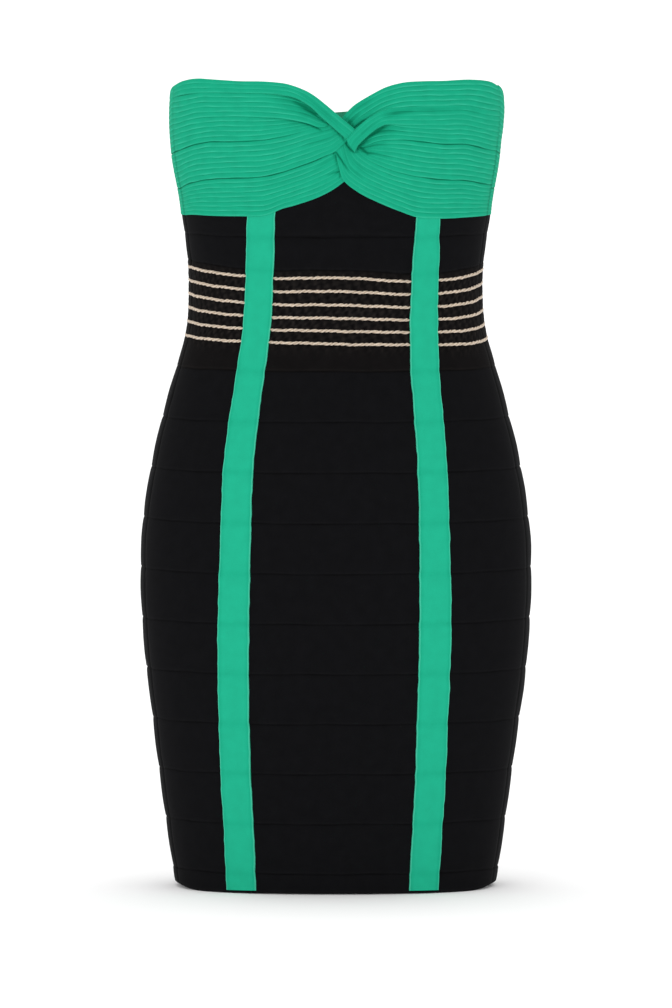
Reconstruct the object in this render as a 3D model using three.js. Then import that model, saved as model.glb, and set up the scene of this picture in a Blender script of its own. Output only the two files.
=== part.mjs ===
// A strapless bodycon dress of banded knit, filled out as it is when it is worn: a tucked bust of
// two cups that cross in a twist, a black body of horizontal bands, a long stripe down each side of
// the front, and six metallic trims round the waist.
// Millimetres. +X is to the right of someone who faces the front, -Y is the front and +Z is up.
// Heights in the tables are above the hem. The origin is the middle of the body at the bust line,
// where the wearer holds the dress up.
// A turn is the angle in degrees round the body from the centre front: 90 is the wearer's left side,
// 180 the centre back.

import * as THREE from 'three';

// Driving sizes
const HOLD_HEIGHT = 655;
const FABRIC = 1.8;
const SEAM_GAP = 0.3;
const SQUARENESS = 2.3;
const SIDE_SEAM_TURN = 74;
const TWIST_TURN = 1.6;

// Cup fullness, over the plain rings
const CUP_MIDDLE = 68;
const CUP_HEIGHT = 645;
const CUP_REACH = 42;
const CUP_RISE = 9;

// Skirt and waist bands
const HEM_TURNING = 13;
const HEM_LAYER = 1.2;
const BAND_PITCH = 43.9;
const SKIRT_BANDS = 10;
const BAND_EDGE = 3;
const BAND_GROOVE = 0.6;
const TRIM_COUNT = 6;
const TRIM_PITCH = 11.3;
const FIRST_TRIM = 476.8;
const TRIM_MARGIN = 6.3;
const MIDRIFF_SEAM = 569;
const CUP_SEAM = 585;
const WAIST_BOW = 3;
const RIB_EDGE = 3.8;
const WAIST_MIDDLE = 505;
const WAIST_BOW_REACH = 50;

// Tucks of the bust
const TUCK_FOLD = 0.35;
const TUCK_GROOVE = 0.45;
const TUCK_STEP = 0.2;

// Stripes and trims, which lie on the panels
const STRIPE_WIDTH = 26;
const STRIPE_CLOTH = 1.2;
const TRIM_CLEARANCE = 0.4;
const TRIM_WIDTH = 3;
const TRIM_TOP_WIDTH = 1.8;
const TRIM_HEIGHT = 1.6;

// Points along and round each kind of piece
const FRONT_COLUMNS = 20;
const BACK_COLUMNS = 22;
const CUP_COLUMNS = 12;
const CUP_CROWDING = 1.4;
const BUST_INSIDE_STEP = 6;
const WAIST_INSIDE_STEP = 6;
const MIDRIFF_INSIDE_STEP = 3;
const BACK_BUST_COLUMNS = 15;
const STRIPE_COLUMNS = 2;
const FRONT_TRIM_STEPS = 8;
const BACK_TRIM_STEPS = 24;
const TWIST_STEPS = 12;
const TWIST_ACROSS = 6;

// How far apart the points are that tell which way a curve runs
const TURN_STEP = 0.5;
const HEIGHT_STEP = 1;
const PATH_STEP = 0.1;

// Finishes
const GREEN_BAND = { color: 0x22b28a, roughness: 0.8, metalness: 0 };
const GREEN_BUST = { color: 0x20ab84, roughness: 0.8, metalness: 0 };
const BLACK_BAND = { color: 0x17171a, roughness: 0.85, metalness: 0 };
const GOLD_THREAD = { color: 0xcdaf87, roughness: 0.45, metalness: 0.7 };

// The plain rings of the body: half its width, and how far the front and back stand from the sides.
const RINGS = [
  { height: 0, halfWidth: 140, front: 85, back: 90 },
  { height: 50, halfWidth: 147, front: 88, back: 95 },
  { height: 100, halfWidth: 154, front: 91, back: 99 },
  { height: 150, halfWidth: 160.5, front: 94, back: 104 },
  { height: 200, halfWidth: 166.7, front: 97, back: 108 },
  { height: 260, halfWidth: 170.5, front: 98, back: 111 },
  { height: 310, halfWidth: 169.2, front: 97, back: 109 },
  { height: 360, halfWidth: 161.9, front: 92, back: 101 },
  { height: 405, halfWidth: 151.7, front: 86, back: 91 },
  { height: 450, halfWidth: 139.5, front: 80, back: 82 },
  { height: 485, halfWidth: 130.2, front: 76, back: 75 },
  { height: 520, halfWidth: 128, front: 76, back: 73 },
  { height: 560, halfWidth: 131, front: 80, back: 75 },
  { height: 600, halfWidth: 137.2, front: 88, back: 79 },
  { height: 640, halfWidth: 144, front: 95, back: 82 },
  { height: 675, halfWidth: 145.8, front: 97, back: 84 },
  { height: 705, halfWidth: 145, front: 95, back: 84 },
];

// The bust's four long lines, by the turn from the twist: its lower edge, the two seams between its
// groups of tucks, and the neckline.
const BUST_LINES = [
  { turn: 0, lowerEdge: 618.5, lowerSeam: 644, upperSeam: 654, neckline: 675.5 },
  { turn: 5, lowerEdge: 610, lowerSeam: 640, upperSeam: 655, neckline: 686 },
  { turn: 11, lowerEdge: 603, lowerSeam: 634, upperSeam: 655, neckline: 696 },
  { turn: 16, lowerEdge: 598.5, lowerSeam: 629.5, upperSeam: 655, neckline: 701.5 },
  { turn: 24, lowerEdge: 588.5, lowerSeam: 623.5, upperSeam: 655, neckline: 705 },
  { turn: 40, lowerEdge: 586, lowerSeam: 620, upperSeam: 653.5, neckline: 704.5 },
  { turn: 63, lowerEdge: 585.5, lowerSeam: 613, upperSeam: 646, neckline: 703 },
  { turn: 74, lowerEdge: CUP_SEAM, lowerSeam: 609, upperSeam: 640.5, neckline: 699 },
  { turn: 90, lowerEdge: CUP_SEAM, lowerSeam: 608, upperSeam: 637, neckline: 690 },
  { turn: 120, lowerEdge: CUP_SEAM, lowerSeam: 607, upperSeam: 636, neckline: 683 },
  { turn: 150, lowerEdge: CUP_SEAM, lowerSeam: 606, upperSeam: 635, neckline: 675 },
  { turn: 180, lowerEdge: CUP_SEAM, lowerSeam: 606, upperSeam: 634, neckline: 669 },
];

// The groups of tucks between those lines, from the lowest.
const TUCK_GROUPS = [
  { from: 'lowerEdge', to: 'lowerSeam', tucks: 8 },
  { from: 'lowerSeam', to: 'upperSeam', tucks: 7 },
  { from: 'upperSeam', to: 'neckline', tucks: 12 },
];

// The middle line of each stripe, from the centre front.
const STRIPE_PATHS = [
  { height: 0, left: -82.8, right: 76.8 },
  { height: 52, left: -85, right: 79.8 },
  { height: 95, left: -87.6, right: 82.4 },
  { height: 138, left: -88.9, right: 83.7 },
  { height: 180, left: -89.7, right: 85.3 },
  { height: 230, left: -89.6, right: 86.2 },
  { height: 306, left: -87.5, right: 85.7 },
  { height: 368, left: -85.2, right: 84 },
  { height: 410, left: -80.5, right: 81 },
  { height: 451, left: -74.4, right: 77.9 },
  { height: 493, left: -68.8, right: 76.6 },
  { height: 535, left: -66.6, right: 77.5 },
  { height: 590, left: -65.4, right: 79.8 },
];

// The two crossing ends of the cups. The left one lies on the right cup, and the right one on it.
const TWIST_OVER_RIGHT = [
  { along: 0, x: -50, height: 699, halfWidth: 3.8, lift: 0.8, fullness: 0 },
  { along: 1, x: -28.5, height: 692.8, halfWidth: 4.8, lift: 0.8, fullness: 0.9 },
  { along: 2, x: -13.5, height: 683, halfWidth: 5.2, lift: 0.8, fullness: 1.3 },
  { along: 3, x: 0, height: 670.8, halfWidth: 5.5, lift: 0.8, fullness: 1.2 },
  { along: 4, x: 14, height: 657.6, halfWidth: 5.6, lift: 0.8, fullness: 0.3 },
];
const TWIST_OVER_LEFT = [
  { along: 0, x: 56, height: 675.3, halfWidth: 4.5, lift: 0.8, fullness: 0 },
  { along: 1, x: 45, height: 673, halfWidth: 5.6, lift: 0.8, fullness: 0.8 },
  { along: 2, x: 33.5, height: 667, halfWidth: 6.8, lift: 1.2, fullness: 1.3 },
  { along: 3, x: 22.5, height: 658.5, halfWidth: 7.4, lift: 3, fullness: 1.3 },
  { along: 4, x: 13.5, height: 650, halfWidth: 6.6, lift: 3, fullness: 0.5 },
];
const TWIST_EDGE = 1;

// A smooth curve through one column of a table, as a function of its first one.
function smooth(table, along, column) {
  const places = table.map((row) => row[along]);
  const values = table.map((row) => row[column]);
  const curve = new THREE.CubicInterpolant(places, values, 1);
  return (at) => curve.evaluate(at)[0];
}

const halfWidthAt = smooth(RINGS, 'height', 'halfWidth');
const frontDepthAt = smooth(RINGS, 'height', 'front');
const backDepthAt = smooth(RINGS, 'height', 'back');
const bustLines = {
  lowerEdge: smooth(BUST_LINES, 'turn', 'lowerEdge'),
  lowerSeam: smooth(BUST_LINES, 'turn', 'lowerSeam'),
  upperSeam: smooth(BUST_LINES, 'turn', 'upperSeam'),
  neckline: smooth(BUST_LINES, 'turn', 'neckline'),
};
const stripePaths = {
  left: smooth(STRIPE_PATHS, 'height', 'left'),
  right: smooth(STRIPE_PATHS, 'height', 'right'),
};

const blend = THREE.MathUtils.lerp;

// How far the cups stand out from the plain rings.
function cupFullness(x, height) {
  const up = (height - CUP_HEIGHT) / CUP_REACH;
  const across = (Math.abs(x) - CUP_MIDDLE) / CUP_REACH;
  return CUP_RISE * Math.exp(-up * up - across * across);
}

// The outside of the dress at a turn and height, without its bands and tucks.
function formPoint(turn, height) {
  const across = Math.sin(THREE.MathUtils.degToRad(turn));
  const ahead = Math.cos(THREE.MathUtils.degToRad(turn));
  const size = Math.abs(across) ** SQUARENESS + Math.abs(ahead) ** SQUARENESS;
  const reach = size ** (-1 / SQUARENESS);
  const x = halfWidthAt(height) * across * reach;
  const front = frontDepthAt(height) + cupFullness(x, height);
  const depth = ahead > 0 ? front : backDepthAt(height);
  return new THREE.Vector3(x, -depth * ahead * reach, height);
}

function outward(turn, height) {
  const round = formPoint(turn + TURN_STEP, height).sub(formPoint(turn - TURN_STEP, height));
  const up = formPoint(turn, height + HEIGHT_STEP).sub(formPoint(turn, height - HEIGHT_STEP));
  return round.cross(up).normalize();
}

// A point at a distance out from the form, in the part's own frame.
function place(turn, height, out) {
  const point = formPoint(turn, height).addScaledVector(outward(turn, height), out);
  point.z -= HOLD_HEIGHT;
  return point;
}

// The turn at which the front is x across.
function turnAt(x, height) {
  const share = Math.min(Math.abs(x) / halfWidthAt(height), 1) ** SQUARENESS;
  const slope = (share / (1 - share)) ** (1 / SQUARENESS);
  return Math.sign(x) * THREE.MathUtils.radToDeg(Math.atan(slope));
}

// Heights on a bust line, and how far the cups' lower edge rises above its level at the sides.
const fromTwist = (turn) => Math.abs(turn > 180 ? 360 - turn : turn - TWIST_TURN);
const bustLine = (name, turn) => bustLines[name](fromTwist(turn));
const cupPeak = (turn) => bustLine('lowerEdge', turn) - CUP_SEAM;

// The waist's lines hang a little lower at the centre front than at the sides and back.
function waistBow(turn, height) {
  const nearness = 1 - Math.abs(height - WAIST_MIDDLE) / WAIST_BOW_REACH;
  const toFront = Math.max(Math.cos(THREE.MathUtils.degToRad(turn)), 0);
  return WAIST_BOW * Math.max(nearness, 0) * (0.5 - toFront);
}

// A row of a panel is level, but for the waist's bow and its share of the cups' peak.
function rowHeight(row, turn) {
  return row.height + waistBow(turn, row.height) + (row.peak ?? 0) * cupPeak(turn);
}

// The zigzag of triangles between two lines of points, the first on the left of the second.
function zipLines(left, right, points, triangles) {
  let i = 0;
  let j = 0;
  while (i < left.length - 1 || j < right.length - 1) {
    const leftNext = i < left.length - 1 ? points[left[i + 1]].distanceTo(points[right[j]]) : Infinity;
    const rightNext = j < right.length - 1 ? points[left[i]].distanceTo(points[right[j + 1]]) : Infinity;
    if (rightNext <= leftNext) {
      triangles.push(left[i], right[j], right[j + 1]);
      j += 1;
    } else {
      triangles.push(left[i], right[j], left[i + 1]);
      i += 1;
    }
  }
}

function namedMesh(name, finish, points, triangles) {
  const geometry = new THREE.BufferGeometry().setFromPoints(points);
  geometry.setIndex(triangles);
  geometry.computeVertexNormals();
  const mesh = new THREE.Mesh(geometry, new THREE.MeshStandardMaterial(finish));
  mesh.name = name;
  return mesh;
}

// A closed wall of cloth between an outside and an inside. Each is a list of rows from the bottom
// up, of points from left to right, with as many in a row on both sides.
function clothWall(name, finish, outside, inside) {
  const points = [...outside.flat(), ...inside.flat()];
  const columns = outside[0].length;
  const index = (rows, start) => rows.map((row, r) => row.map((_, c) => start + r * columns + c));
  const outer = index(outside, 0);
  const inner = index(inside, outside.length * columns);
  const triangles = [];
  for (let r = 0; r < outer.length - 1; r++) zipLines(outer[r + 1], outer[r], points, triangles);
  for (let r = 0; r < inner.length - 1; r++) zipLines(inner[r], inner[r + 1], points, triangles);
  const column = (rows, c) => rows.map((row) => row[c]);
  zipLines(outer[0], inner[0], points, triangles);
  zipLines(inner.at(-1), outer.at(-1), points, triangles);
  zipLines(column(inner, 0), column(outer, 0), points, triangles);
  zipLines(column(outer, columns - 1), column(inner, columns - 1), points, triangles);
  return namedMesh(name, finish, points, triangles);
}

// A closed bar through rings of points, each ring counterclockwise as seen from the bar's end.
function bar(name, finish, rings) {
  const points = rings.flat();
  const sides = rings[0].length;
  const triangles = [];
  for (let r = 0; r < rings.length - 1; r++) {
    for (let s = 0; s < sides; s++) {
      const a = r * sides + s;
      const b = r * sides + ((s + 1) % sides);
      triangles.push(a, b, b + sides, a, b + sides, a + sides);
    }
  }
  const last = (rings.length - 1) * sides;
  for (let s = 1; s < sides - 1; s++) {
    triangles.push(0, s + 1, s);
    triangles.push(last, last + s, last + s + 1);
  }
  return namedMesh(name, finish, points, triangles);
}

const bandNumbers = Array.from({ length: SKIRT_BANDS }, (_, band) => band + 1);
const steps = (count) => Array.from({ length: count + 1 }, (_, i) => i / count);
const turnsBetween = (from, to, count) => steps(count).map((share) => blend(from, to, share));

// The turns at half a seam gap inside each side seam.
const gapTurn = THREE.MathUtils.radToDeg(SEAM_GAP / 2 / RINGS[0].front);
const FRONT_EDGE = SIDE_SEAM_TURN - gapTurn;
const BACK_EDGES = [SIDE_SEAM_TURN + gapTurn, 360 - SIDE_SEAM_TURN - gapTurn];

// The columns of the bust and midriff are closer together near the twist.
function crowdedTurns(side) {
  const edge = TWIST_TURN + side * gapTurn;
  return steps(CUP_COLUMNS).map((share) => blend(edge, side * FRONT_EDGE, share ** CUP_CROWDING));
}

// Rows that start and end half a gap inside the seams above and below the piece.
const underSeam = (row) => ({ ...row, height: row.height - SEAM_GAP / 2 });
const overSeam = (row) => ({ ...row, height: row.height + SEAM_GAP / 2 });
const betweenSeams = (rows) => [overSeam(rows[0]), ...rows.slice(1, -1), underSeam(rows.at(-1))];

const SKIRT_TOP = HEM_TURNING + SKIRT_BANDS * BAND_PITCH;
const WAIST_TOP = FIRST_TRIM + (TRIM_COUNT - 1) * TRIM_PITCH + TRIM_MARGIN;

// A skirt band, numbered from the hem, is drawn in at its seams. The first one has the hem's
// turning below it, held by a stitched groove.
function skirtBandRows(number) {
  const seam = HEM_TURNING + (number - 1) * BAND_PITCH;
  const rows = [
    { height: seam, out: -BAND_GROOVE },
    { height: seam + BAND_EDGE, out: 0 },
    { height: seam + BAND_PITCH - BAND_EDGE, out: 0 },
    { height: seam + BAND_PITCH, out: -BAND_GROOVE },
  ];
  if (number > 1) return betweenSeams(rows);
  const hem = [{ height: 0, out: 0 }, { height: HEM_TURNING - BAND_EDGE, out: 0 }];
  return [...hem, ...rows.slice(0, -1), underSeam(rows.at(-1))];
}

function waistRows() {
  const rows = [{ height: SKIRT_TOP, out: -BAND_GROOVE }, { height: SKIRT_TOP + BAND_EDGE, out: 0 }];
  for (let trim = 0; trim < TRIM_COUNT; trim++) {
    const seam = FIRST_TRIM + trim * TRIM_PITCH;
    rows.push({ height: seam - RIB_EDGE, out: 0 });
    rows.push({ height: seam, out: -BAND_GROOVE });
    rows.push({ height: seam + RIB_EDGE, out: 0 });
  }
  rows.push({ height: WAIST_TOP, out: -BAND_GROOVE });
  return betweenSeams(rows);
}

// The part of the midriff above its seam stretches up into the cups' peak.
function midriffRows() {
  const rows = [
    { height: WAIST_TOP, out: -BAND_GROOVE },
    { height: WAIST_TOP + BAND_EDGE, out: 0 },
    { height: MIDRIFF_SEAM - BAND_EDGE, out: 0 },
    { height: MIDRIFF_SEAM, out: -BAND_GROOVE },
    { height: MIDRIFF_SEAM + BAND_EDGE, out: 0, peak: 0.1 },
    { height: CUP_SEAM, out: 0, peak: 1 },
  ];
  return betweenSeams(rows);
}

// The plain inside of a panel needs only some of its rows.
const every = (rows, step) => rows.filter((_, r) => r % step === 0 || r === rows.length - 1);

function rowPoints(rows, turns, outOf) {
  return rows.map((row) => turns.map((turn) => place(turn, rowHeight(row, turn), outOf(row))));
}

function panel(name, rows, insideRows, turns) {
  const outside = rowPoints(rows, turns, (row) => row.out);
  const inside = rowPoints(insideRows, turns, (row) => -(row.depth ?? FABRIC));
  return clothWall(name, BLACK_BAND, outside, inside);
}

// The hem is turned up inside, so the first band's wall is thicker there.
function skirtBand(side, number, turns) {
  const rows = skirtBandRows(number);
  const hem = [
    { height: 0, depth: FABRIC + HEM_LAYER },
    { height: HEM_TURNING - HEM_LAYER, depth: FABRIC + HEM_LAYER },
    { height: HEM_TURNING, depth: FABRIC },
  ];
  const inside = number > 1 ? [rows[0], rows.at(-1)] : [...hem, rows.at(-1)];
  return panel(`${side}_band_${number}`, rows, inside, turns);
}

function bodyPanels(side, turns, midriffTurns) {
  return [
    ...bandNumbers.map((number) => skirtBand(side, number, turns)),
    panel(`${side}_waist`, waistRows(), every(waistRows(), WAIST_INSIDE_STEP), turns),
    panel(`${side}_midriff`, midriffRows(), every(midriffRows(), MIDRIFF_INSIDE_STEP), midriffTurns),
  ];
}

// The rows of the tucked bust: each tuck folds out above its groove and slopes back up to the next.
function tuckRows() {
  const rows = [];
  for (const group of TUCK_GROUPS) {
    for (let tuck = 0; tuck < group.tucks; tuck++) {
      const up = (share) => (tuck + share) / group.tucks;
      rows.push({ group, up: up(0), out: -TUCK_GROOVE });
      rows.push({ group, up: up(TUCK_STEP), out: TUCK_FOLD });
    }
  }
  rows[0].out = 0;
  rows.push({ group: TUCK_GROUPS.at(-1), up: 1, out: 0 });
  return rows;
}

function tuckHeight(row, turn) {
  const low = bustLine(row.group.from, turn) + (row === lowestTuckRow ? SEAM_GAP / 2 : 0);
  return blend(low, bustLine(row.group.to, turn), row.up);
}

const bustRows = tuckRows();
const lowestTuckRow = bustRows[0];

function bustPiece(name, turns) {
  const rowOf = (row, out) => turns.map((turn) => place(turn, tuckHeight(row, turn), out));
  const outside = bustRows.map((row) => rowOf(row, row.out));
  const inside = every(bustRows, BUST_INSIDE_STEP).map((row) => rowOf(row, -FABRIC));
  return clothWall(name, GREEN_BUST, outside, inside);
}

// One crossing end of a cup: a soft strap that swells in the middle and lies over the cups.
function twistStrap(name, table) {
  const column = (key) => smooth(table, 'along', key);
  const x = column('x');
  const height = column('height');
  const rings = steps(TWIST_STEPS).map((share) => {
    const at = share * (table.length - 1);
    const ahead = Math.min(at + PATH_STEP, table.length - 1);
    const behind = Math.max(at - PATH_STEP, 0);
    const path = new THREE.Vector2(x(ahead) - x(behind), height(ahead) - height(behind)).normalize();
    const lift = column('lift')(at);
    const halfWidth = column('halfWidth')(at);
    const fullness = column('fullness')(at);
    const point = (across, out) => {
      const up = height(at) + across * halfWidth * path.x;
      const aside = x(at) - across * halfWidth * path.y;
      return place(turnAt(aside, up), up, out);
    };
    const under = [-1, 0, 1].map((across) => point(across, lift));
    const over = steps(TWIST_ACROSS).map((s) => {
      const across = 1 - 2 * s;
      return point(across, lift + TWIST_EDGE + fullness * (1 - across * across));
    });
    return [...under, ...over];
  });
  return bar(name, GREEN_BUST, rings);
}

// A stripe is made from the rows of the panels that it lies on, moved out.
function stripe(side) {
  const skirtRows = bandNumbers.flatMap(skirtBandRows);
  const rows = [...skirtRows, ...waistRows(), ...midriffRows()];
  const faceAt = (clear) => rows.map((row) => steps(STRIPE_COLUMNS).map((share) => {
    const x = stripePaths[side](row.height) + (share - 0.5) * STRIPE_WIDTH;
    const turn = turnAt(x, row.height);
    return place(turn, rowHeight(row, turn), row.out + clear);
  }));
  return clothWall(`stripe_${side}`, GREEN_BAND, faceAt(SEAM_GAP + STRIPE_CLOTH), faceAt(SEAM_GAP));
}

// A trim from one turn to another, round the outside.
function trim(name, level, from, to, count) {
  const low = TRIM_CLEARANCE;
  const high = TRIM_CLEARANCE + TRIM_HEIGHT;
  const corners = [
    { up: TRIM_WIDTH / 2, out: low },
    { up: TRIM_TOP_WIDTH / 2, out: high },
    { up: -TRIM_TOP_WIDTH / 2, out: high },
    { up: -TRIM_WIDTH / 2, out: low },
  ];
  const rings = turnsBetween(from, to, count).map((turn) => {
    const middle = level + waistBow(turn, level);
    return corners.map((corner) => place(turn, middle + corner.up, corner.out));
  });
  return bar(name, GOLD_THREAD, rings);
}

// The trims stop at the edges of the stripes.
function trims(number) {
  const level = FIRST_TRIM + (number - 1) * TRIM_PITCH;
  const away = STRIPE_WIDTH / 2 + SEAM_GAP;
  const edge = (side, sign) => turnAt(stripePaths[side](level) + sign * away, level);
  const back = [edge('right', 1), 360 + edge('left', -1)];
  return [
    trim(`trim_front_${number}`, level, edge('left', 1), edge('right', -1), FRONT_TRIM_STEPS),
    trim(`trim_back_${number}`, level, ...back, BACK_TRIM_STEPS),
  ];
}

const frontTurns = turnsBetween(-FRONT_EDGE, FRONT_EDGE, FRONT_COLUMNS);
const backTurns = turnsBetween(...BACK_EDGES, BACK_COLUMNS);
const leftCupTurns = crowdedTurns(-1).reverse();
const rightCupTurns = crowdedTurns(1);
const midriffTurns = [...leftCupTurns.slice(0, -1), TWIST_TURN, ...rightCupTurns.slice(1)];

const dress = new THREE.Group();
dress.add(...bodyPanels('front', frontTurns, midriffTurns));
dress.add(...bodyPanels('back', backTurns, backTurns));
dress.add(bustPiece('cup_left', leftCupTurns));
dress.add(bustPiece('cup_right', rightCupTurns));
dress.add(bustPiece('bust_back', turnsBetween(...BACK_EDGES, BACK_BUST_COLUMNS)));
dress.add(twistStrap('twist_left', TWIST_OVER_RIGHT));
dress.add(twistStrap('twist_right', TWIST_OVER_LEFT));
dress.add(stripe('left'), stripe('right'));
for (let number = 1; number <= TRIM_COUNT; number++) dress.add(...trims(number));

export default dress;
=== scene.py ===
# A strapless bodycon dress of banded knit, filled out as it is when it is worn.
# Sizes are in millimetres until a mesh is made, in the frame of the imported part: +X to the right of
# someone who faces the front, -Y the front, +Z up. Heights in the tables are above the hem. A turn is
# the angle in degrees round the body from the centre front, 90 on the +X side and 180 at the back.

import math

import bpy
import numpy as np
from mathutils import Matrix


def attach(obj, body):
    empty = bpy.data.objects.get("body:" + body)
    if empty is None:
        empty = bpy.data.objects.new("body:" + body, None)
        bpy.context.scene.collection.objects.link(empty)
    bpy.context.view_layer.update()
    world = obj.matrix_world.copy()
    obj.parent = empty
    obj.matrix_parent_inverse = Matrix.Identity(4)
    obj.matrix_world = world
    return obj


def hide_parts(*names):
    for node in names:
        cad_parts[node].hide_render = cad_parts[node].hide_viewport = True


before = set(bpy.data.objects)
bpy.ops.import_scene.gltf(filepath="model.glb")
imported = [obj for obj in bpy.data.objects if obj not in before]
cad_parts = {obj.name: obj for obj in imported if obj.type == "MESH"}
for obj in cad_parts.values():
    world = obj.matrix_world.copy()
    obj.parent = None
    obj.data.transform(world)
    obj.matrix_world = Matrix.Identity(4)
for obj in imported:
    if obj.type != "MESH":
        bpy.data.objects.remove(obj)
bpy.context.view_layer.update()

# The form's sizes, as in the part
HOLD_HEIGHT = 655
SQUARENESS = 2.3
SIDE_SEAM_TURN = 74
TWIST_TURN = 1.6
CUP_MIDDLE = 68
CUP_HEIGHT = 645
CUP_REACH = 42
CUP_RISE = 9
HEM_TURNING = 13
BAND_PITCH = 43.9
SKIRT_BANDS = 10
TRIM_COUNT = 6
TRIM_PITCH = 11.3
FIRST_TRIM = 476.8
TRIM_MARGIN = 6.3
MIDRIFF_SEAM = 569
CUP_SEAM = 585
WAIST_BOW = 3
WAIST_MIDDLE = 505
WAIST_BOW_REACH = 50
WAIST_FULL_RISE = 32
WAIST_RISE_FADE = 26
STRIPE_WIDTH = 26
SKIRT_TOP = HEM_TURNING + SKIRT_BANDS * BAND_PITCH
WAIST_TOP = FIRST_TRIM + (TRIM_COUNT - 1) * TRIM_PITCH + TRIM_MARGIN

# Cloth thickness, how far the midriff runs up and in under the cups, and how closely meshes are stepped
CLOTH = 1.6
MIDRIFF_TUCK = 7
MIDRIFF_SINK = 0.9
PANEL_STEP = 3.0
TUCK_STEP_LENGTH = 2.0
INSIDE_SKIP = 6

# Height, half width, front depth, back depth
RINGS = (
    (0, 140, 85, 90), (50, 147, 88, 95), (100, 154, 91, 99), (150, 160.5, 94, 104), (200, 166.7, 97, 108),
    (260, 170.5, 98, 111), (310, 169.2, 97, 109), (360, 161.9, 92, 101), (405, 151.7, 86, 91),
    (450, 139.5, 80, 82), (485, 130.2, 76, 75), (520, 128, 76, 73), (560, 131, 80, 75),
    (600, 137.2, 88, 79), (640, 144, 95, 82), (675, 145.8, 97, 84), (705, 145, 95, 84),
)

# Turn from the twist, lower edge, lower seam, upper seam, neckline
BUST_LINES = (
    (0, 618.5, 644, 654, 675.5), (5, 610, 640, 655, 686), (11, 603, 634, 655, 696),
    (16, 598.5, 629.5, 655, 701.5), (24, 588.5, 623.5, 655, 705), (40, 586, 620, 653.5, 704.5),
    (63, 585.5, 613, 646, 703), (74, 585.4, 609, 640.5, 698.2), (90, 585, 608, 637, 689.5),
    (120, 585, 607, 636, 683), (150, 585, 606, 635, 675), (180, 585, 606, 634, 669),
)

# Height, middle of the left stripe, middle of the right stripe
STRIPE_PATHS = (
    (0, -82, 76.9), (52, -84.1, 79.9), (95, -86.6, 82.5), (138, -88, 84), (180, -88.8, 85.6),
    (230, -88.7, 86.8), (306, -86.8, 86.1), (368, -84.4, 84.2), (410, -79.7, 81.2), (451, -73.7, 77.8),
    (493, -68.1, 76.5), (535, -65.9, 77.9), (590, -64.6, 80.6),
)

# How the hem dips as it settles: turn either way from the front, and how far
HEM_DIPS = (
    (0, 3.9), (20, 3.9), (32, 4.2), (43, 4.5), (54, 4.5), (62, 3.5), (69, 2.1), (76, 1.2), (90, 1),
    (125, 2.4), (180, 3.2),
)

# How the corded waist rides up: turn, its rise, and how much wider each space between cords is
WAIST_RISES = (
    (-180, 2, 0.3), (-110, 3, 0.5), (-75, 4.1, 0.7), (-61, 3.4, 0.6), (-47, 2.3, 0.35), (-39, 1.7, 0.2),
    (-23, 0.6, -0.1), (-6, 0.85, 0.2), (6, 0.25, 0.3), (17, -0.7, 0), (28, -1.95, -0.23), (47, -2.15, 0.1),
    (56, -1.6, 0.4), (66, -0.6, 0.6), (75, 0.6, 0.75), (110, 1.6, 0.5), (180, 2, 0.3),
)

# How much fuller than the plain form the sides are: height, left, right
SIDE_FULLNESS = (
    (0, 0.3, 0.3), (54, 0.8, 1), (96, 0.7, 0.7), (138, 0.35, 1.05), (180, 0, 1.5), (201, 0, 1.2),
    (243, -0.2, 0.7), (306, -0.3, 0.5), (390, 0.2, 0.8), (430, 0.1, 0.8), (474, -0.2, 0.8), (516, 0.2, 0.2),
    (537, -0.3, 0.1), (579, -0.3, 0.7), (593, -0.6, 0.2), (609, -0.2, 0.6), (630, 0, 0.4),
    (649, -0.2, 0.25), (661, -0.1, 1.2), (677, -0.4, 1.9), (688, -0.8, 1.5), (698, -0.3, 0.8),
)
SIDE_REACH = 30

# Height, width of the left stripe, width of the right stripe
STRIPE_WIDTHS = (
    (0, 25.7, 25.6), (154, 26.5, 26.9), (231, 27.2, 27.7), (308, 26.4, 26.3), (385, 25.9, 25.4),
    (462, 24.3, 24.6), (500, 24, 24), (539, 23.9, 23.1), (558, 24.2, 22.5), (577, 24.4, 20.8),
    (590, 24.4, 20.6),
)

# What the two lines over each cup's low sheet share
LEFT_LOW_START = ((-126, 614.7), (-111, 618.6), (-84, 621.1), (-64, 622.6), (-48, 626), (-35, 630.6),
                  (-22, 635.4), (-11, 640.2))
RIGHT_LOW_END = ((31.5, 635.6), (44, 630.2), (57, 626), (72, 622.4), (92, 619.4), (112, 617.9))
RIGHT_LOW_SHAPE = {
    "lifts": ((14, -0.8), (30, -0.3), (50, 0), (140, 0)),
    "seam": ((14, 0), (55, 0.2), (90, 0.9), (125, 1), (140, 0.4)),
}

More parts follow.
